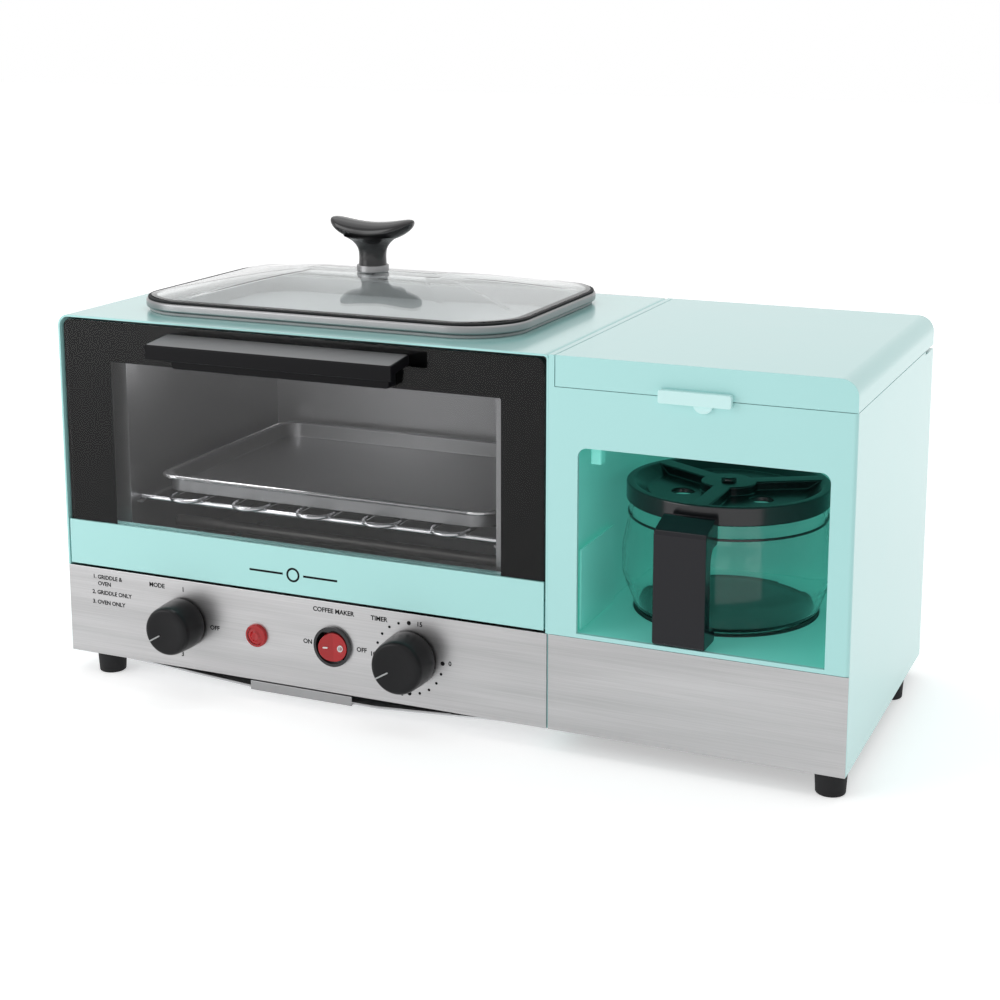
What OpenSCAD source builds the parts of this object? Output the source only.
// Breakfast station: a toaster oven with a griddle on top, joined to a small coffee maker.
// X runs to the right, Y to the back and Z up; the modules draw from the oven's left edge,
// the control panel's front face and the table, and placed() centres the whole on its base.

/* [Overall] */
// Width of the oven section
oven_w = 305; // [285:1:360]
// Width of the coffee maker section
coffee_w = 160; // [150:1:200]
// Depth of the body, from the front face to the rear cover
body_d = 193; // [185:1:240]
// Height of the body above its feet
body_h = 203; // [195:1:250]
// Height of the feet
foot_h = 12; // [9:1:20]
// Diameter of a foot
foot_d = 17; // [10:1:20]

/* [Sheet metal] */
// Thickness of the painted housing and its rear cover
sheet_t = 1.2; // [0.8:0.1:2]
// Thickness of the steel panels, the liner and the base plate
panel_t = 1; // [0.6:0.1:1.5]
// Height of the steel control panel
panel_h = 53; // [50:1:62]
// Radius of the housing's top left edge
housing_r = 7; // [3:0.5:12]

/* [Door] */
// Gap between the door and the housing around it
door_gap = 1; // [0.6:0.1:2]
// Height of the painted bottom rail
rail_h = 26.5; // [24:0.5:36]
// Depth of the bottom rail
rail_d = 9; // [8:0.5:11]
// Thickness of the door glass
glass_t = 4; // [3:0.5:5]
// Width of the door handle
handle_w = 152; // [90:1:200]
// Reach of the door handle in front of the glass
handle_reach = 22; // [16:1:40]
// Diameter of a hinge pin
hinge_pin_d = 4; // [3:0.5:5]

/* [Cavity] */
// Width of the baking cavity
cavity_w = 233; // [200:1:260]
// Height of the rack above the cavity floor
rack_rise = 38; // [32:1:60]
// Diameter of the rack's long wires
wire_d = 2.4; // [2:0.1:3.5]
// Diameter of the rack's cross wires
cross_wire_d = 3; // [2.4:0.1:4]
// Number of hairpin wires in the rack
hairpins = 5; // [3:1:7]
// Height of the baking tray
tray_h = 10; // [8:1:20]
// Diameter of a heater tube
heater_d = 7; // [5:0.5:9]

/* [Griddle and lid] */
// Width of the lid's metal band
lid_w = 241; // [205:1:255]
// Depth of the lid's metal band
lid_d = 165; // [130:1:170]
// Corner radius of the band
lid_r = 36; // [22:1:40]
// Height of the band
band_h = 5; // [4:0.5:12]
// Rise of the glass dome above the band
dome_h = 12; // [8:0.5:20]
// Depth of the griddle's dish
dish_depth = 9; // [7:0.5:10]
// Width of the lid's knob
lid_knob_w = 53.6; // [35:1:65]

/* [Controls] */
// Diameter of the two rotary knobs
knob_d = 31.5; // [26:0.5:38]
// Length of a rotary knob
knob_l = 18.5; // [12:0.5:22]
// Diameter of a knob's shaft
shaft_d = 6; // [5:0.5:8]
// Diameter of the round rocker switch's bezel
rocker_d = 23; // [21:0.5:28]
// Diameter of the pilot light's lens
pilot_d = 13.5; // [10:0.5:16]

/* [Coffee maker] */
// Wall of the moulded coffee maker housing
wall = 2.2; // [1.6:0.1:3]
// Width of the carafe bay's opening
bay_w = 131.5; // [122:0.5:150]
// Height of the bay's opening
bay_h = 100; // [90:0.5:112]
// Height of the hinged lid
cap_h = 16.4; // [13:0.5:24]
// Radius of the lid's right edge
cap_r = 9; // [4:0.5:14]
// Largest radius of the carafe
carafe_r = 57; // [45:0.5:60]
// Height of the carafe's glass
carafe_h = 60; // [50:1:70]

/* [Hidden] */

$fn = 48;
eps = 0.01;
over = 2;            // how far a cut runs past the face it opens

mint = [0.66, 0.88, 0.86];
steel = [0.74, 0.74, 0.75];
bright = [0.85, 0.85, 0.86];
dark = [0.12, 0.12, 0.13];
red = [0.8, 0.1, 0.1];
clear = [0.7, 0.8, 0.8, 0.4];

// clearances
run_gap = 0.05;      // radial, of a pin or shaft that turns
slide_gap = 0.3;     // between pieces that lift off or slide
seam = 0.4;          // half of the dark joint between the two steel panels
screw_r = 2;         // shank of every screw
screw_head_r = 3.6;
screw_head_h = 1.4;

total_w = oven_w + coffee_w;
base_z = foot_h;
top_z = foot_h + body_h;
panel_top = base_z + panel_h;
rear_y = body_d - sheet_t;
gland_out = 2.5;     // how far the cord inlet stands out of the rear cover
rail_lip = 1.4;      // the rail's front face stands this far in front of the glass
handle_y = rail_lip - handle_reach;
origin_y = -(handle_y + body_d + gland_out) / 2;

// door
door_x0 = sheet_t + door_gap;
door_x1 = oven_w - sheet_t - door_gap;
door_z0 = panel_top + 1.5;
door_z1 = top_z - sheet_t - 1.3;
rail_z1 = door_z0 + rail_h;
rail_skin = 1.2;
groove_depth = 11;
hinge_y = 5;
hinge_z = door_z0 + 5;
ear_x = 8;           // where a hinge ear starts
ear_t = 3;
ear_r = 3;
ear_gap = 1;         // each side of an ear, in the rail's notch
flange_y = 14;       // front face of the liner's flange
handle_shift = 3.5;
handle_x0 = oven_w / 2 - handle_shift - handle_w / 2;
handle_x1 = handle_x0 + handle_w;
handle_top = door_z1 - 4.3;
handle_plate_h = 21;
bar_h = 8;
handle_screw_x = [handle_x0 + 22, handle_x1 - 22];
handle_screw_z = handle_top - handle_plate_h + 6;

// cavity
cavity_x0 = oven_w / 2 - cavity_w / 2 + 1;
cavity_x1 = cavity_x0 + cavity_w;
cavity_mid = (cavity_x0 + cavity_x1) / 2;
floor_z = panel_top + 2;
cavity_y1 = rear_y - 7.8;
ledge_h = 1;
ledge_w = 4;
rack_z = floor_z + rack_rise;
rack_y0 = 15.5;
rack_y1 = cavity_y1 - 4;
cross_y = rack_y0 + 8;
long_z = rack_z + (cross_wire_d + wire_d) / 2 - 0.4;
hairpin_pitch = (cavity_w - 23) / hairpins;
tray_z = long_z + wire_d / 2 + slide_gap;
tray_t = 0.8;
tray_rim = 4;
tray_x0 = cavity_x0 + 9;
tray_x1 = cavity_x1 - 7;
tray_y0 = rack_y0 + 9.5;
tray_y1 = cavity_y1 - 6;
low_heater_z = floor_z + 13;
high_heater_z = top_z - 21;
heater_ys = [cavity_y1 * 0.34, cavity_y1 * 0.74];
insulator_l = 7;
insulator_r = heater_d / 2 + 2.5;
bulkhead_y = 44;

// base plate's pan and the crumb tray in it
pan_x = [32, 124, 204, oven_w - 20];
pan_drop = 5.5;
crumb_t = 0.8;
crumb_x = [74, 249];
crumb_y1 = rear_y - 8;
pull_x = [123, 188];
pull_z = [6, base_z - 0.5];

// griddle and lid
lid_x0 = cavity_mid - 1 - lid_w / 2;
lid_y0 = 18;
lid_x1 = lid_x0 + lid_w;
lid_y1 = lid_y0 + lid_d;
lid_mid = [(lid_x0 + lid_x1) / 2, (lid_y0 + lid_y1) / 2];
flange_t = 1.8;
flange_in = 2;       // the griddle's flange is this much smaller than the band
dish_in = 9;         // from the band's outside to the dish's outside
dish_wall = 2.5;
band_w = 5;
band_z = top_z + flange_t + slide_gap;
gasket_h = 1.2;
dome_z = band_z + band_h + gasket_h;
dome_in = 3;
dome_t = 4;
dome_top = dome_z + dome_h;
dome_steps = 7;
lid_stem_r = 8.5;
collar_h = 4;
stem_z = dome_top + collar_h;
saddle_z = stem_z + 12;
saddle_h = 17.5;
saddle_d = 21;

// controls, as [x, z] on the panel
mode_at = [79.2, base_z + 27.8];
timer_at = [oven_w - 80.4, base_z + 27.8];
pilot_at = [127.8, base_z + 27];
rocker_at = [176.8, base_z + 27.6];
knob_gap = 1;
knob_y0 = -knob_gap - knob_l;
shaft_in = 14;
switch_size = [30, 22, 30];
rocker_y = 3;        // pivot, behind the panel's face
rocker_tilt = 11;
rocker_r = rocker_d / 2 - 3.3;
rocker_slot = rocker_d / 2 - 1.6;
barrel_r = rocker_d / 2 - 0.8;
barrel_y = 16;

// cord inlet in the rear cover, as [x, z]
gland_at = [oven_w - 18, base_z + 24];
gland_r = 6;
gland_bore = 3.6;

// feet, as [x, y]
foot_at = [[22, 9], [22, body_d - 43], [total_w - 9, 9], [total_w - 9, body_d - 43]];

// coffee maker
cx0 = oven_w;
cx1 = total_w;
cheek = 3.2;         // left wall, which also stands beside the lid
cap_x0 = cx0 + cheek + 0.4;
cap_z0 = top_z - cap_h;
shell_top = cap_z0 - 0.3;
shell_y1 = 170;
cover_y1 = body_d;
bay_x0 = cx0 + 16.3;
bay_x1 = bay_x0 + bay_w;
bay_z0 = panel_top + 2.5;
bay_z1 = bay_z0 + bay_h;
bay_r = 5;
liner_t = 1.5;
liner_x0 = bay_x0 - 2.3;
liner_x1 = bay_x1 + 2.3;
carafe_at = [bay_x0 + 1.7 + carafe_r, 18 + carafe_r];
liner_y1 = carafe_at[1] + carafe_r + 5;
liner_r = 30;        // its rear corners
carafe_band_h = 1.4;
hotplate_r = 50;
hotplate_t = 2.5;
deck_z = cap_z0 - 12.6;
deck_t = 2;
basket_r = 40;
basket_wall = 1.6;
spray_z = deck_z + deck_t + 5;
tank_x = [cx0 + 7, cx1 - 19];
tank_y = [liner_y1 + liner_t + 1.5, shell_y1 - 2];
tank_z0 = bay_z0 + 3;
tank_t = 1.8;
boiler_z = bay_z0 - 7.5;
boiler_r = 34;
boiler_tube_r = 3.5;
boiler_gap = 30;     // half of the boiler's open angle
tank_out_x = carafe_at[0] - boiler_r * sin(boiler_gap);
feed_x = carafe_at[0] + boiler_r * sin(boiler_gap);
feed_y = carafe_at[1] + boiler_r * cos(boiler_gap);
riser_at = [cx1 - 11, (tank_y[0] + tank_y[1]) / 2];
cap_hinge = [body_d - 3, cap_z0 + 2];   // y, z
cap_pin_r = 1.5;
cap_ears = [cx0 + 27, cx1 - 31];
cap_ear_t = 4;
tab_x = [cx0 + 60, cx0 + 98];

// screws between the two sections, as [y, z]
module_screw_at = [[60, cap_z0 - 6], [150, cap_z0 - 6], [60, base_z + 8], [150, base_z + 8]];

// carafe
carafe_z = bay_z0 + slide_gap;
glass_w = 2.2;
base_r = carafe_r - 7;
neck_r = carafe_r - 3.5;
lid_z = carafe_z + carafe_h + slide_gap;
lid_r_c = carafe_r - 2;
lid_h_c = 10;
grip_w = 28;
grip_y = [-1, 8];
grip_x = carafe_at[0] - 3;

// ---- shared shapes ----

module placed() {
    translate([-total_w / 2, origin_y, 0]) children();
}

// a box from its low corner to its high corner
module block(low, high) {
    translate(low) cube(high - low);
}

// children are drawn in the X-Z plane and run from y0 to y1
module along_y(y0, y1) {
    translate([0, y1, 0]) rotate([90, 0, 0]) linear_extrude(y1 - y0) children();
}

module rise(z0, z1) {
    translate([0, 0, z0]) linear_extrude(z1 - z0) children();
}

module rod_x(x0, x1, y, z, r) {
    translate([x0, y, z]) rotate([0, 90, 0]) cylinder(r = r, h = x1 - x0);
}

module rod_y(x, z, y0, y1, r) {
    translate([x, y1, z]) rotate([90, 0, 0]) cylinder(r = r, h = y1 - y0);
}

// what a round corner of radius r takes off a square one; sx and sy point inwards
module corner_cut(x, y, sx, sy, r) {
    translate([x, y]) mirror([sx < 0 ? 1 : 0, 0]) mirror([0, sy < 0 ? 1 : 0]) difference() {
        translate([-over, -over]) square(r + over);
        translate([r, r]) circle(r);
        translate([r, -2 * over]) square(2 * r + 4 * over);
        translate([-2 * over, r]) square(2 * r + 4 * over);
    }
}

// a rectangle with its own radius at each corner: low left, low right, high right, high left
module rounded(low, high, r) {
    difference() {
        translate(low) square(high - low);
        if (r[0] > 0) corner_cut(low[0], low[1], 1, 1, r[0]);
        if (r[1] > 0) corner_cut(high[0], low[1], -1, 1, r[1]);
        if (r[2] > 0) corner_cut(high[0], high[1], -1, -1, r[2]);
        if (r[3] > 0) corner_cut(low[0], high[1], 1, -1, r[3]);
    }
}

module even(low, high, r) {
    rounded(low, high, [r, r, r, r]);
}

// ---- oven casing ----

module oven_housing() {
    color(mint) placed() difference() {
        along_y(0, rear_y) rounded([0, base_z], [oven_w, top_z], [0, 0, 3, housing_r]);
        along_y(-over, rear_y + over)
            rounded([sheet_t, base_z - over], [oven_w - sheet_t, top_z - sheet_t],
                [0, 0, 3 - sheet_t, housing_r - sheet_t]);
        block([-over, -over, 0], [oven_w + over, panel_t, panel_top + 0.2]);
        rise(top_z - 2 * over, top_z + over) griddle_hole();
        module_screw_holes();
        back_screw_holes(0, oven_w);
    }
}

module griddle_hole() {
    gap = dish_in - slide_gap * 2;
    even([lid_x0 + gap, lid_y0 + gap], [lid_x1 - gap, lid_y1 - gap], lid_r - gap + 2);
}

module oven_back_cover() {
    slot_w = 4;
    slot_h = 34;
    slot_z = base_z + 88;
    color(steel) placed() difference() {
        along_y(rear_y, body_d)
            rounded([0, base_z], [oven_w, top_z], [0, 0, 3, housing_r]);
        for (side = [-1, 1], i = [0:8])
            translate([oven_w / 2 + side * (50 + 9 * i) - slot_w / 2, rear_y - over, slot_z])
                cube([slot_w, sheet_t + 2 * over, slot_h]);
        rod_y(gland_at[0], gland_at[1], rear_y - over, body_d + over, gland_r);
        back_screw_holes(0, oven_w);
    }
}

module cord_gland() {
    color(dark) placed() difference() {
        union() {
            rod_y(gland_at[0], gland_at[1], rear_y - 6, body_d, gland_r);
            rod_y(gland_at[0], gland_at[1], body_d, body_d + gland_out, gland_r + 2.5);
        }
        rod_y(gland_at[0], gland_at[1], rear_y - 7, body_d + over + gland_out, gland_bore);
    }
}

function back_screw_at(x0, x1) = [for (x = [x0 + 14, x1 - 14], z = [base_z + 80, cap_z0 - 14]) [x, z]];

module back_screw_holes(x0, x1) {
    for (p = back_screw_at(x0, x1)) rod_y(p[0], p[1], rear_y - 8, body_d + over, screw_r);
}

module back_screws() {
    color(steel) placed()
        for (x0 = [0, cx0], p = back_screw_at(x0, x0 == 0 ? oven_w : cx1)) {
            rod_y(p[0], p[1], rear_y - 6, body_d, screw_r);
            rod_y(p[0], p[1], body_d, body_d + screw_head_h, screw_head_r);
        }
}

// the pan that the crumb tray slides in: a shallow channel hanging under the base
function pan_outline(drop, t) = [
    [sheet_t, base_z], [pan_x[0], base_z], [pan_x[1], base_z - drop], [pan_x[2], base_z - drop],
    [pan_x[3], base_z], [oven_w - sheet_t, base_z], [oven_w - sheet_t, base_z + t],
    [pan_x[3], base_z + t], [pan_x[2], base_z - drop + t], [pan_x[1], base_z - drop + t],
    [pan_x[0], base_z + t], [sheet_t, base_z + t]];

module base_plate() {
    color(dark) placed() difference() {
        along_y(panel_t, rear_y) polygon(pan_outline(pan_drop, panel_t));
        foot_screw_holes();
    }
}

module control_panel() {
    color(steel) placed() difference() {
        along_y(0, panel_t) even([0, base_z], [oven_w - seam, panel_top], 0);
        for (p = [mode_at, timer_at]) rod_y(p[0], p[1], -over, panel_t + over, shaft_d / 2 + 1.5);
        rod_y(pilot_at[0], pilot_at[1], -over, panel_t + over, pilot_d / 2 - 1);
        rod_y(rocker_at[0], rocker_at[1], -over, panel_t + over, barrel_r);
    }
}

module control_bulkhead() {
    color(bright) placed()
        block([sheet_t, bulkhead_y, base_z + panel_t], [oven_w - sheet_t, bulkhead_y + panel_t, floor_z - panel_t]);
}

// ---- cavity ----

module cavity_liner() {
    wall_top = top_z - sheet_t;
    color(bright) placed() difference() {
        union() {
            block([cavity_x0 - panel_t, flange_y, floor_z - panel_t],
                [cavity_x1 + panel_t, cavity_y1 + panel_t, wall_top]);
            along_y(flange_y, flange_y + panel_t)
                rounded([sheet_t, floor_z - panel_t], [oven_w - sheet_t, wall_top], [0, 0, 3, housing_r]);
        }
        difference() {
            block([cavity_x0, flange_y - over, floor_z], [cavity_x1, cavity_y1, wall_top + over]);
            for (x = [cavity_x0, cavity_x1 - ledge_w])
                block([x, flange_y + 6, rack_z - cross_wire_d / 2 - slide_gap - ledge_h],
                    [x + ledge_w, cavity_y1, rack_z - cross_wire_d / 2 - slide_gap]);
            block([cavity_x0, flange_y, high_heater_z + 6], [cavity_x1, flange_y + panel_t, wall_top]);
        }
        block([cavity_x0 + 24, heater_ys[0] - 12, floor_z - over], [cavity_x1 - 24, cavity_y1 - 16, floor_z + over]);
        for (y = heater_ys, z = [low_heater_z, high_heater_z])
            rod_x(cavity_x0 - over, cavity_x1 + over, y, z, heater_d / 2);
        for (i = [0:19], y = [flange_y + 12, flange_y + 21])
            translate([cavity_x0 + 22 + i * (cavity_w - 44) / 19, y, floor_z - over]) cylinder(d = 3, h = 2 * over);
    }
}

module heater_tubes(z) {
    for (y = heater_ys) rod_x(cavity_x0 - insulator_l, cavity_x1 + insulator_l, y, z, heater_d / 2);
}

module upper_heaters() {
    color(dark) placed() heater_tubes(high_heater_z);
}

module lower_heaters() {
    color(dark) placed() heater_tubes(low_heater_z);
}

module heater_insulators() {
    color("white") placed() for (y = heater_ys, z = [low_heater_z, high_heater_z]) difference() {
        union() {
            rod_x(cavity_x0 - insulator_l, cavity_x0 - panel_t, y, z, insulator_r);
            rod_x(cavity_x1 + panel_t, cavity_x1 + insulator_l, y, z, insulator_r);
        }
        rod_x(cavity_x0 - 2 * insulator_l, cavity_x1 + 2 * insulator_l, y, z, heater_d / 2);
    }
}

module wire_rack() {
    x0 = cavity_x0 + 2;
    x1 = cavity_x1 - 2;
    side_x = ledge_w + 4;
    color(bright) placed() {
        for (y = [cross_y, rack_y1]) {
            rod_x(x0, x1, y, rack_z, cross_wire_d / 2);
            for (x = [x0, x1]) translate([x, y, rack_z]) sphere(cross_wire_d / 2);
        }
        for (i = [0:hairpins - 1]) hairpin(cavity_x0 + 22 + i * hairpin_pitch);
    }
}

// two long wires joined by a bend at the front
module hairpin(x) {
    r = hairpin_pitch / 4;
    w = wire_d / 2;
    for (s = [0, 2 * r]) {
        rod_y(x + s, long_z, rack_y0 + r, rack_y1 + 2, w);
        translate([x + s, rack_y1 + 2, long_z]) sphere(w);
    }
    translate([x + r, rack_y0 + r, long_z]) rotate([0, 0, 180]) rotate_extrude(angle = 180)
        translate([r, 0]) circle(w);
}

module baking_tray() {
    wall_r = 12;
    color(steel) placed() difference() {
        union() {
            rise(tray_z, tray_z + tray_h)
                even([tray_x0 + tray_rim, tray_y0 + tray_rim], [tray_x1 - tray_rim, tray_y1 - tray_rim], wall_r);
            rise(tray_z + tray_h - 1.6, tray_z + tray_h)
                even([tray_x0, tray_y0], [tray_x1, tray_y1], wall_r + tray_rim);
        }
        rise(tray_z + tray_t, tray_z + tray_h + over)
            even([tray_x0 + tray_rim + tray_t, tray_y0 + tray_rim + tray_t],
                [tray_x1 - tray_rim - tray_t, tray_y1 - tray_rim - tray_t], wall_r - tray_t);
    }
}

function pan_z(x) = x < pan_x[1]
    ? base_z - pan_drop * (x - pan_x[0]) / (pan_x[1] - pan_x[0])
    : x > pan_x[2] ? base_z - pan_drop * (pan_x[3] - x) / (pan_x[3] - pan_x[2]) : base_z - pan_drop;

module crumb_tray() {
    lift = panel_t + slide_gap;
    xs = [crumb_x[0], pan_x[1], pan_x[2], crumb_x[1]];
    low = [for (x = xs) [x, pan_z(x) + lift]];
    high = [for (i = [3:-1:0]) low[i] + [0, crumb_t]];
    color(bright) placed() {
        along_y(-0.5, crumb_y1) polygon(concat(low, high));
        block([pull_x[0], -0.5, pull_z[0]], [pull_x[1], panel_t - slide_gap, pull_z[1]]);
    }
}

// ---- door ----

module door_glass() {
    color(dark) placed() difference() {
        along_y(rail_lip, rail_lip + glass_t)
            rounded([door_x0 + 0.4, rail_z1 - groove_depth], [door_x1 - 0.4, door_z1], [0, 0, 5, 5]);
        handle_screw_holes();
    }
}

module door_rail() {
    slot_z = rail_z1 - groove_depth;
    color(mint) placed() difference() {
        block([door_x0, 0, door_z0], [door_x1, rail_d, rail_z1]);
        block([door_x0 - over, rail_lip, slot_z], [door_x1 + over, rail_lip + glass_t, rail_z1 + over]);
        block([door_x0 + ear_x - ear_gap - 2.2, rail_lip, door_z0 + rail_skin],
            [door_x1 - ear_x + ear_gap + 2.2, rail_d + over, slot_z - 1.5]);
        for (x = [ear_x, oven_w - ear_x - ear_t])
            block([x - ear_gap, rail_lip, door_z0 - over], [x + ear_t + ear_gap, rail_d + over, door_z0 + 2 * rail_skin]);
        for (x = [door_x0 + 1, door_x1 - 7]) rod_x(x, x + 6, hinge_y, hinge_z, hinge_pin_d / 2);
    }
}

module door_hinge_pins() {
    color(steel) placed() {
        rod_x(door_x0 + 1, ear_x + ear_t + 2, hinge_y, hinge_z, hinge_pin_d / 2);
        rod_x(oven_w - ear_x - ear_t - 2, door_x1 - 1, hinge_y, hinge_z, hinge_pin_d / 2);
    }
}

module hinge_ear() {
    difference() {
        union() {
            rod_x(ear_x, ear_x + ear_t, hinge_y, hinge_z, ear_r);
            block([ear_x, hinge_y, hinge_z - 2], [ear_x + ear_t, flange_y, hinge_z + 2]);
            block([ear_x, flange_y - 0.8, hinge_z - 3], [ear_x + 12, flange_y, hinge_z + 12]);
        }
        rod_x(ear_x - over, ear_x + ear_t + over, hinge_y, hinge_z, hinge_pin_d / 2 + run_gap);
    }
}

module hinge_brackets() {
    color(steel) placed() {
        hinge_ear();
        translate([oven_w, 0, 0]) mirror([1, 0, 0]) hinge_ear();
    }
}

module handle_screw_holes() {
    for (x = handle_screw_x) rod_y(x, handle_screw_z, rail_lip - 8, rail_lip + glass_t + over, screw_r);
}

// an arm that reaches forward from the top of its plate, with a lip hanging from the front
module door_handle() {
    plate_t = 9;
    arm_t = 4;
    slope = 2.5;
    y_low = rail_lip - plate_t;
    color(dark) placed() difference() {
        union() {
            along_y(y_low, rail_lip)
                even([handle_x0, handle_top - handle_plate_h], [handle_x1, handle_top - slope], 2);
            translate([handle_x0, 0, 0]) rotate([90, 0, 90]) linear_extrude(handle_w) polygon([
                [rail_lip, handle_top], [handle_y, handle_top - slope],
                [handle_y, handle_top - slope - bar_h], [handle_y + arm_t, handle_top - slope - bar_h],
                [handle_y + arm_t, handle_top - slope - arm_t], [rail_lip, handle_top - arm_t]]);
        }
        handle_screw_holes();
    }
}

module door_handle_screws() {
    color(steel) placed() for (x = handle_screw_x) {
        rod_y(x, handle_screw_z, rail_lip - 7, rail_lip + glass_t, screw_r);
        rod_y(x, handle_screw_z, rail_lip + glass_t, rail_lip + glass_t + screw_head_h, screw_head_r);
    }
}

// ---- griddle and lid ----

module griddle_plate() {
    dish_r = lid_r - dish_in + 2;
    low = [lid_x0, lid_y0];
    high = [lid_x1, lid_y1];
    function inset(d) = [low + [d, d], high - [d, d]];
    flange = inset(flange_in);
    dish = inset(dish_in);
    hollow = inset(dish_in + dish_wall);
    color([0.3, 0.3, 0.31]) placed() difference() {
        union() {
            rise(top_z, top_z + flange_t) even(flange[0], flange[1], lid_r - flange_in);
            rise(top_z - dish_depth - dish_wall, top_z + eps) even(dish[0], dish[1], dish_r);
        }
        rise(top_z - dish_depth, top_z + flange_t + over) even(hollow[0], hollow[1], dish_r - dish_wall);
    }
}

module lid_ring(z0, z1, inset, w) {
    low = [lid_x0 + inset, lid_y0 + inset];
    high = [lid_x1 - inset, lid_y1 - inset];
    rise(z0, z1) difference() {
        even(low, high, lid_r - inset);
        even(low + [w, w], high - [w, w], lid_r - inset - w);
    }
}

module lid_rim() {
    color(bright) placed() lid_ring(band_z, band_z + band_h, 0, band_w);
}

module lid_gasket() {
    color(dark) placed() lid_ring(band_z + band_h, dome_z, 1, 5);
}

// the dome's outside, or its inside when it is drawn dome_t further in
module dome(inset, z0, height) {
    span = lid_d / 2 - dome_in - inset - 6;
    hull() for (i = [0:dome_steps]) {
        part = i / dome_steps;
        d = dome_in + inset + span * part;
        translate([0, 0, z0 + height * (1 - pow(1 - part, 2))]) linear_extrude(0.2)
            even([lid_x0 + d, lid_y0 + d], [lid_x1 - d, lid_y1 - d], max(lid_r - d, 8), $fn = 32);
    }
}

module lid_glass() {
    color(clear) placed() difference() {
        dome(0, dome_z, dome_h - 0.2);
        dome(dome_t, dome_z - 0.2 - eps, dome_h - dome_t);
        translate([lid_mid[0], lid_mid[1], dome_z]) cylinder(r = screw_r + 0.5, h = dome_h + over);
    }
}

module lid_collar() {
    color(bright) placed() translate([lid_mid[0], lid_mid[1], dome_top]) difference() {
        cylinder(r = lid_stem_r + 1, h = collar_h);
        translate([0, 0, -over]) cylinder(r = screw_r, h = collar_h + 2 * over);
    }
}

// a stem that flares into a saddle whose two ends turn up
module lid_knob() {
    half = lid_knob_w / 2;
    top = saddle_z + saddle_h;
    dip = 6;
    dip_r = (half * half + dip * dip) / (2 * dip);
    color(dark) placed() translate([lid_mid[0], lid_mid[1], 0]) difference() {
        union() {
            translate([0, 0, stem_z]) cylinder(r = lid_stem_r, h = saddle_z - stem_z + 8);
            intersection() {
                rise(saddle_z, top) even([-half, -saddle_d / 2], [half, saddle_d / 2], saddle_d / 2);
                along_y(-saddle_d, saddle_d) difference() {
                    polygon([[-lid_stem_r, saddle_z], [lid_stem_r, saddle_z], [half - 6, top - 8], [half, top - 5],
                        [half, top], [-half, top], [-half, top - 5], [6 - half, top - 8]]);
                    translate([0, top - dip + dip_r]) circle(dip_r);
                }
            }
        }
        translate([0, 0, stem_z - over]) cylinder(r = screw_r, h = 12 + over);
    }
}

module lid_knob_screw() {
    head_z = dome_top - dome_t - screw_head_h - 0.4;
    color(steel) placed() translate([lid_mid[0], lid_mid[1], 0]) {
        translate([0, 0, head_z]) cylinder(r = screw_head_r + 1, h = screw_head_h);
        translate([0, 0, head_z + screw_head_h]) cylinder(r = screw_r, h = stem_z + 12 - head_z - screw_head_h);
    }
}

// ---- controls ----

module knob(at) {
    edge = 3;
    color(dark) placed() translate([at[0], -knob_gap, at[1]]) rotate([90, 0, 0]) difference() {
        rotate_extrude() difference() {
            square([knob_d / 2, knob_l]);
            translate([knob_d / 2 - edge, knob_l - edge]) difference() {
                square(edge + over);
                circle(edge);
            }
        }
        translate([0, 0, -over]) cylinder(d = shaft_d, h = knob_l - 4 + over);
    }
}

module shaft(at) {
    color(steel) placed() rod_y(at[0], at[1], knob_y0 + 4, panel_t + shaft_in, shaft_d / 2);
}

module switch_body(at, size) {
    color(dark) placed() difference() {
        union() {
            translate([at[0] - size[0] / 2, panel_t, at[1] - size[2] / 2]) cube(size);
            rod_y(at[0], at[1], panel_t + size[1], panel_t + size[1] + 5, size[0] / 3);
        }
        rod_y(at[0], at[1], panel_t - over, panel_t + shaft_in + 1, shaft_d / 2 + run_gap);
    }
}

module mode_knob() { knob(mode_at); }
module mode_shaft() { shaft(mode_at); }
module mode_switch() { switch_body(mode_at, switch_size); }
module timer_knob() { knob(timer_at); }
module timer_shaft() { shaft(timer_at); }
module timer_body() { switch_body(timer_at, switch_size + [4, 6, 4]); }

module pilot_light() {
    color(red) placed() {
        rod_y(pilot_at[0], pilot_at[1], -2, 0, pilot_d / 2);
        rod_y(pilot_at[0], pilot_at[1], -3.4, -2, pilot_d / 2 - 2.4);
        rod_y(pilot_at[0], pilot_at[1], 0, 16, pilot_d / 2 - 1);
    }
}

module rocker_bezel() {
    half = rocker_r - 0.9;
    color(dark) placed() difference() {
        union() {
            rod_y(rocker_at[0], rocker_at[1], -2, 0, rocker_d / 2);
            rod_y(rocker_at[0], rocker_at[1], 0, barrel_y, barrel_r);
        }
        rod_y(rocker_at[0], rocker_at[1], -over - 2, 0, rocker_slot);
        intersection() {
            rod_y(rocker_at[0], rocker_at[1], -over, barrel_y, rocker_slot);
            translate([rocker_at[0] - rocker_slot, -eps, rocker_at[1] - half])
                cube([2 * rocker_slot, barrel_y - 4, 2 * half]);
        }
        translate([rocker_at[0], rocker_y, rocker_at[1] - half - 1.5])
            cylinder(r = 1.2 + run_gap, h = 2 * half + 3);
    }
}

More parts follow.
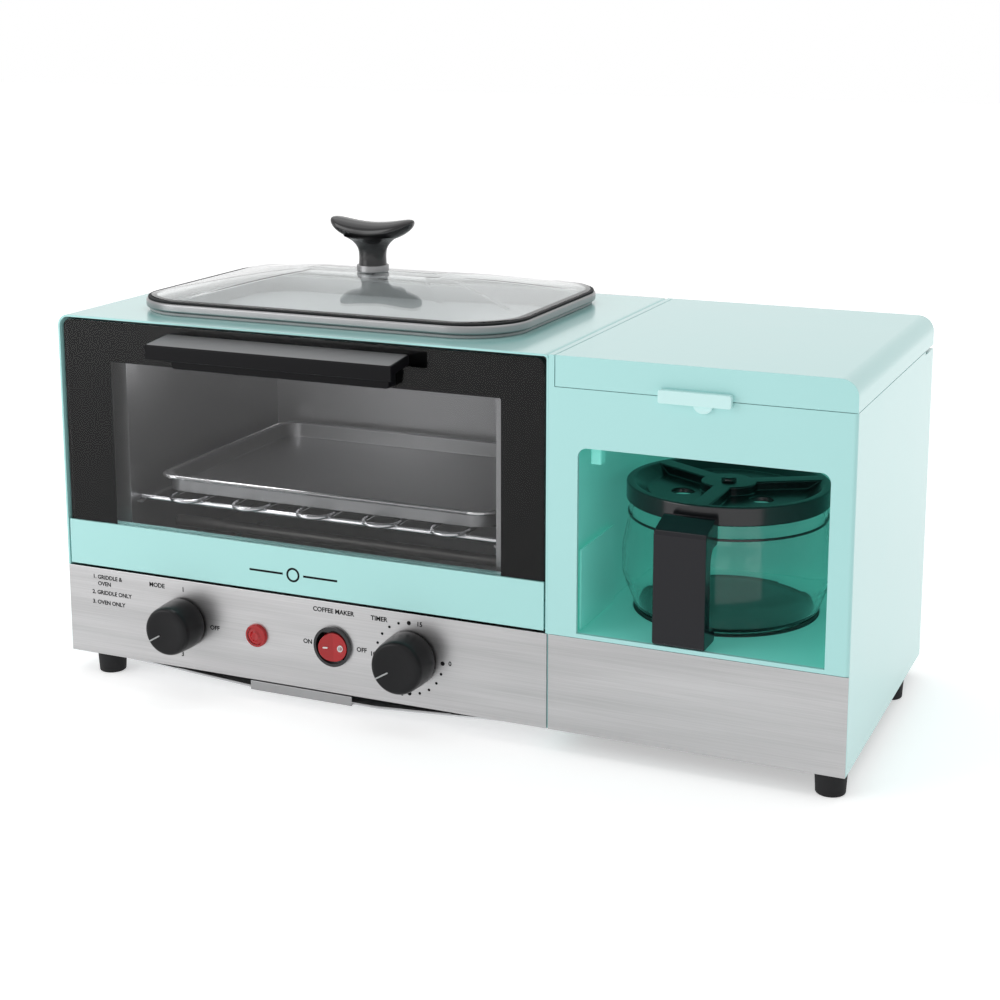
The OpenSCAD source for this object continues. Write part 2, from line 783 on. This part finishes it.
// a shallow V that tips about an upright pin; at rest its right side is pressed in
module rocker_button() {
    half = rocker_r - 1.2;
    w = rocker_r;
    front = -rocker_y - 0.9;
    color(red) placed() translate([rocker_at[0], rocker_y, rocker_at[1]]) {
        rotate([0, 0, rocker_tilt]) intersection() {
            translate([0, 0, -w]) linear_extrude(2 * w) polygon([
                [-w, -6.8], [0, -5.2], [w, -6.8], [w, -3.6], [2.5, 2.5], [-2.5, 2.5], [-w, -3.6]]);
            translate([0, 4, 0]) rotate([90, 0, 0]) cylinder(r = w, h = 16);
            union() {
                translate([-2 * w, front - 8, -w - 1]) cube([4 * w, 8, 2 * w + 2]);
                translate([-2 * w, front - eps, -half]) cube([4 * w, 12, 2 * half]);
            }
        }
        translate([0, 0, -half - 1.2]) cylinder(r = 1.2, h = 2 * half + 2.4);
    }
}

// ---- feet and screws ----

module feet() {
    recess = 4;
    color(dark) placed() for (p = foot_at) translate([p[0], p[1], 0]) difference() {
        cylinder(d1 = foot_d - 1.5, d2 = foot_d, h = foot_h);
        translate([0, 0, -over]) cylinder(r = screw_head_r, h = recess + over);
        translate([0, 0, -over]) cylinder(r = screw_r, h = foot_h + 2 * over);
    }
}

module foot_screw_holes() {
    for (p = foot_at) translate([p[0], p[1], base_z - over]) cylinder(r = screw_r, h = 8);
}

module foot_screws() {
    recess = 4;
    color(steel) placed() for (p = foot_at) translate([p[0], p[1], 0]) {
        translate([0, 0, recess - screw_head_h]) cylinder(r = screw_head_r, h = screw_head_h);
        translate([0, 0, recess]) cylinder(r = screw_r, h = base_z + 5 - recess);
    }
}

module module_screw_holes() {
    for (p = module_screw_at) rod_x(cx0 - 8, cx0 + 12, p[0], p[1], screw_r);
}

module module_screws() {
    color(steel) placed() for (p = module_screw_at) {
        rod_x(cx0 - sheet_t, cx0 + cheek + 2, p[0], p[1], screw_r);
        rod_x(cx0 - sheet_t - screw_head_h, cx0 - sheet_t, p[0], p[1], screw_head_r);
    }
}

// ---- coffee maker casing ----

module coffee_housing() {
    color(mint) placed() difference() {
        union() {
            rise(base_z, shell_top) rounded([cx0, 0], [cx1, shell_y1], [0, 2, 0, 0]);
            block([cx0, 0, shell_top - eps], [cx0 + cheek, shell_y1, top_z]);
        }
        rise(base_z - over, shell_top + over) even([cx0 + cheek, wall], [cx1 - wall, shell_y1 + over], 0);
        block([cx0 - over, -over, 0], [cx1 + over, panel_t, panel_top + 0.2]);
        along_y(-over, wall + over) rounded([bay_x0, bay_z0], [bay_x1, bay_z1], [0, 0, bay_r, bay_r]);
        module_screw_holes();
    }
}

module coffee_panel() {
    color(steel) placed() block([cx0 + seam, 0, base_z], [cx1, panel_t, panel_top]);
}

module coffee_base() {
    color(dark) placed() difference() {
        block([cx0 + cheek, wall, base_z], [cx1 - wall, cover_y1 - wall, base_z + wall]);
        foot_screw_holes();
    }
}

module cap_ear(x) {
    block([x, cap_hinge[0] - 3, cap_hinge[1] - 10], [x + cap_ear_t, cap_hinge[0], cap_hinge[1]]);
    rod_x(x, x + cap_ear_t, cap_hinge[0], cap_hinge[1], 2.9);
    block([x, cap_hinge[0] - 3, cap_hinge[1] - 14], [x + cap_ear_t, cover_y1 - wall + eps, cap_hinge[1] - 5.5]);
}

module coffee_back_cover() {
    edge_z = cap_hinge[1] - 4.2;
    color(mint) placed() difference() {
        union() {
            difference() {
                rise(base_z, edge_z) even([cx0, shell_y1], [cx1, cover_y1], 0);
                rise(base_z - over, edge_z + over)
                    even([cx0 + cheek, shell_y1 - over], [cx1 - wall, cover_y1 - wall], 0);
            }
            block([cx0, shell_y1, edge_z - eps], [cx0 + cheek, cover_y1, top_z]);
            for (x = cap_ears) cap_ear(x);
        }
        for (x = cap_ears)
            rod_x(x - over, x + cap_ear_t + over, cap_hinge[0], cap_hinge[1], cap_pin_r + run_gap);
        back_screw_holes(cx0, cx1);
    }
}

module cap_outline(inset, z0, z1) {
    r = max(cap_r - inset, 1);
    rounded([cap_x0 + inset, z0], [cx1 - inset, z1], [0, 0, r, 0]);
}

module coffee_lid() {
    knuckle_x = [cap_ears[0] + cap_ear_t + 0.5, cap_ears[1] - 5.5];
    color(mint) placed() difference() {
        union() {
            difference() {
                along_y(0, cover_y1) cap_outline(0, cap_z0, top_z);
                along_y(wall, cover_y1 - wall) cap_outline(wall, cap_z0 - over, top_z - wall);
            }
            for (x = knuckle_x)
                block([x, cap_hinge[0] - 4, cap_z0 + 0.3], [x + 5, cover_y1 - wall + eps, top_z - wall + eps]);
        }
        for (x = cap_ears)
            block([x - 0.5, cap_hinge[0] - 4, cap_z0 - over], [x + cap_ear_t + 0.5, cover_y1 + over, cap_hinge[1] + 3.6]);
        for (x = knuckle_x) rod_x(x - 1, x + 6, cap_hinge[0], cap_hinge[1], cap_pin_r);
    }
}

module coffee_lid_pins() {
    color(steel) placed() {
        rod_x(cap_ears[0], cap_ears[0] + cap_ear_t + 5.5, cap_hinge[0], cap_hinge[1], cap_pin_r);
        rod_x(cap_ears[1] - 5.5, cap_ears[1] + cap_ear_t, cap_hinge[0], cap_hinge[1], cap_pin_r);
    }
}

module lid_tab() {
    tab_d = 4;
    color(mint) placed() difference() {
        along_y(-tab_d, 0) even([tab_x[0], cap_z0 - 3], [tab_x[1], cap_z0 + 3.8], 1.2);
        block([tab_x[0] - over, -slide_gap * 2, cap_z0 - 6], [tab_x[1] + over, over, cap_z0]);
    }
}

// ---- coffee maker inside ----

module bay_liner() {
    r = liner_r;
    z0 = bay_z0 - liner_t;
    z1 = bay_z1 + liner_t;
    color(mint) placed() difference() {
        rise(z0, z1) rounded([liner_x0 - liner_t, wall], [liner_x1 + liner_t, liner_y1 + liner_t],
            [0, 0, r + liner_t, r + liner_t]);
        rise(bay_z0, bay_z1) rounded([liner_x0, wall - over], [liner_x1, liner_y1], [0, 0, r, r]);
        translate([carafe_at[0], carafe_at[1], z0 - over]) cylinder(r = hotplate_r + 0.5, h = 2 * over);
        translate([carafe_at[0], carafe_at[1], bay_z1 - over]) cylinder(r = basket_r - 10, h = 4 * over);
    }
}

module hotplate() {
    color(dark) placed() translate([carafe_at[0], carafe_at[1], bay_z0 - hotplate_t]) {
        cylinder(r = hotplate_r, h = hotplate_t);
        translate([0, 0, -0.6]) cylinder(r = hotplate_r - 6, h = 1);
    }
}

module boiler_tube() {
    color(bright) placed() translate([carafe_at[0], carafe_at[1], boiler_z])
        rotate([0, 0, 90 + boiler_gap]) rotate_extrude(angle = 360 - 2 * boiler_gap)
            translate([boiler_r, 0]) circle(boiler_tube_r);
}

module water_tank() {
    color(clear) placed() difference() {
        block([tank_x[0], tank_y[0], tank_z0], [tank_x[1], tank_y[1], deck_z]);
        block([tank_x[0] + tank_t, tank_y[0] + tank_t, tank_z0 + tank_t],
            [tank_x[1] - tank_t, tank_y[1] - tank_t, deck_z + over]);
        translate([tank_out_x, riser_at[1], tank_z0 - over]) cylinder(r = boiler_tube_r - 1, h = 2 * over);
    }
}

module water_hoses() {
    r = boiler_tube_r;
    color([0.85, 0.85, 0.8]) placed() {
        rod_y(tank_out_x, boiler_z, feed_y + r, riser_at[1], r);
        translate([tank_out_x, riser_at[1], boiler_z]) sphere(r);
        translate([tank_out_x, riser_at[1], boiler_z]) cylinder(r = r, h = tank_z0 - boiler_z);
        rod_y(feed_x, boiler_z, feed_y + r, riser_at[1], r);
        translate([feed_x, riser_at[1], boiler_z]) sphere(r);
        rod_x(feed_x, riser_at[0], riser_at[1], boiler_z, r);
        translate([riser_at[0], riser_at[1], boiler_z]) sphere(r);
        translate([riser_at[0], riser_at[1], boiler_z]) cylinder(r = r, h = spray_z - boiler_z);
    }
}

module top_deck() {
    color(mint) placed() difference() {
        block([cx0 + cheek, wall, deck_z], [cx1 - wall, shell_y1, deck_z + deck_t]);
        translate([carafe_at[0], carafe_at[1], deck_z - over]) cylinder(r = basket_r + 0.3, h = 3 * over);
        block([tank_x[0] + 14, tank_y[0] + 3, deck_z - over], [tank_x[1] - 5, tank_y[1] - 3, deck_z + 2 * over]);
        translate([riser_at[0], riser_at[1], deck_z - over]) cylinder(r = boiler_tube_r + 0.3, h = 3 * over);
    }
}

module filter_basket() {
    low = bay_z1 - 2;
    foot_r = basket_r - 14;
    color(dark) placed() translate([carafe_at[0], carafe_at[1], 0]) difference() {
        union() {
            translate([0, 0, low]) cylinder(r1 = foot_r, r2 = basket_r, h = deck_z + deck_t - low, $fn = 72);
            translate([0, 0, deck_z + deck_t]) cylinder(r = basket_r + 2.5, h = 2);
        }
        translate([0, 0, low + basket_wall])
            cylinder(r1 = foot_r - basket_wall, r2 = basket_r - basket_wall, h = deck_z + deck_t - low - basket_wall + eps, $fn = 72);
        translate([0, 0, deck_z + deck_t]) cylinder(r = basket_r - basket_wall, h = 2 + over);
        translate([0, 0, low - over]) cylinder(r = 3, h = 3 * over);
    }
}

module spray_head() {
    color(dark) placed() difference() {
        union() {
            translate([carafe_at[0], carafe_at[1], spray_z]) cylinder(r = 14, h = 3);
            block([carafe_at[0] - 4, carafe_at[1], spray_z], [carafe_at[0] + 4, riser_at[1] + 4, spray_z + 3]);
            block([carafe_at[0] - 4, riser_at[1] - 4, spray_z], [riser_at[0] + 4, riser_at[1] + 4, spray_z + 3]);
        }
        for (a = [0:60:300]) translate([carafe_at[0], carafe_at[1], spray_z - over])
            rotate([0, 0, a]) translate([9, 0, 0]) cylinder(d = 2.5, h = 3 + 2 * over);
    }
}

// ---- carafe ----

// half sections of the carafe's outside: base, belly, shoulder and neck
module carafe_section(t) {
    polygon([[0, carafe_z + t], [base_r - t, carafe_z + t], [base_r + 3 - t, carafe_z + 9],
        [carafe_r - t, carafe_z + 20], [carafe_r - t, carafe_z + 34], [neck_r + 1 - t, carafe_z + 46],
        [neck_r - t, carafe_z + 50], [neck_r - t, carafe_z + carafe_h + (t > 0 ? over : 0)],
        [0, carafe_z + carafe_h + (t > 0 ? over : 0)]]);
}

module carafe_glass() {
    color(clear) placed() translate([carafe_at[0], carafe_at[1], 0])
        rotate_extrude($fn = 96) difference() {
            carafe_section(0);
            carafe_section(glass_w);
        }
}

module carafe_band() {
    z = carafe_z + carafe_h - 8;
    color(dark) placed() translate([carafe_at[0], carafe_at[1], z]) difference() {
        cylinder(r = neck_r + 0.6, h = carafe_band_h);
        translate([0, 0, -over]) cylinder(r = neck_r, h = carafe_band_h + 2 * over);
    }
}

module carafe_handle() {
    top = carafe_z + carafe_h;
    inner = neck_r + 1;
    color(dark) placed() difference() {
        translate([grip_x - grip_w / 2, 0, 0]) rotate([90, 0, 90]) linear_extrude(grip_w) difference() {
            polygon([[grip_y[0], carafe_z], [carafe_at[1] - 30, carafe_z], [carafe_at[1] - 30, top + 6],
                [grip_y[1] + 9, top + 6], [grip_y[0], top + 1]]);
            polygon([[grip_y[1], carafe_z + 8], [grip_y[1], top - 14], [grip_y[1] + 3, top - 9],
                [carafe_at[1], top - 9], [carafe_at[1], carafe_z + 8]]);
        }
        translate([carafe_at[0], carafe_at[1], carafe_z - over]) cylinder(r = carafe_r, h = 26);
        translate([carafe_at[0], carafe_at[1], carafe_z + 20]) cylinder(r = inner, h = carafe_h + over);
        translate([carafe_at[0], carafe_at[1], top]) cylinder(r = lid_r_c + 2 * slide_gap, h = 6 + over);
    }
}

// a dished black lid with a hub, three openings and a rolled edge
module carafe_lid() {
    dish = 5;
    hub_r = 15;
    color(dark) placed() translate([carafe_at[0], carafe_at[1], lid_z]) difference() {
        union() {
            cylinder(r = lid_r_c, h = lid_h_c);
            translate([0, 0, lid_h_c - eps]) cylinder(r = 4, h = 2);
        }
        difference() {
            translate([0, 0, lid_h_c - dish]) cylinder(r1 = lid_r_c - 12, r2 = lid_r_c - 4, h = dish + eps);
            cylinder(r = hub_r, h = lid_h_c + over);
            for (a = [30, 150, 270]) rotate([0, 0, a]) translate([0, -5, 0]) cube([lid_r_c, 10, lid_h_c + over]);
        }
        translate([0, 0, -over]) cylinder(r = lid_r_c - 5, h = 2 + over);
        for (a = [90, 210, 330]) rotate([0, 0, a]) translate([hub_r + 10, 0, -over]) cylinder(r = 6, h = 14);
    }
}

oven_housing();
oven_back_cover();
base_plate();
control_panel();
control_bulkhead();
cavity_liner();
hinge_brackets();
upper_heaters();
lower_heaters();
heater_insulators();
door_glass();
door_rail();
door_handle();
door_handle_screws();
door_hinge_pins();
wire_rack();
baking_tray();
crumb_tray();
griddle_plate();
lid_rim();
lid_gasket();
lid_glass();
lid_collar();
lid_knob();
lid_knob_screw();
mode_knob();
mode_shaft();
mode_switch();
timer_knob();
timer_shaft();
timer_body();
pilot_light();
rocker_bezel();
rocker_button();
feet();
foot_screws();
module_screws();
coffee_housing();
coffee_base();
coffee_back_cover();
coffee_panel();
coffee_lid();
lid_tab();
coffee_lid_pins();
bay_liner();
top_deck();
water_tank();
filter_basket();
spray_head();
hotplate();
boiler_tube();
water_hoses();
carafe_glass();
carafe_band();
carafe_handle();
carafe_lid();
cord_gland();
back_screws();
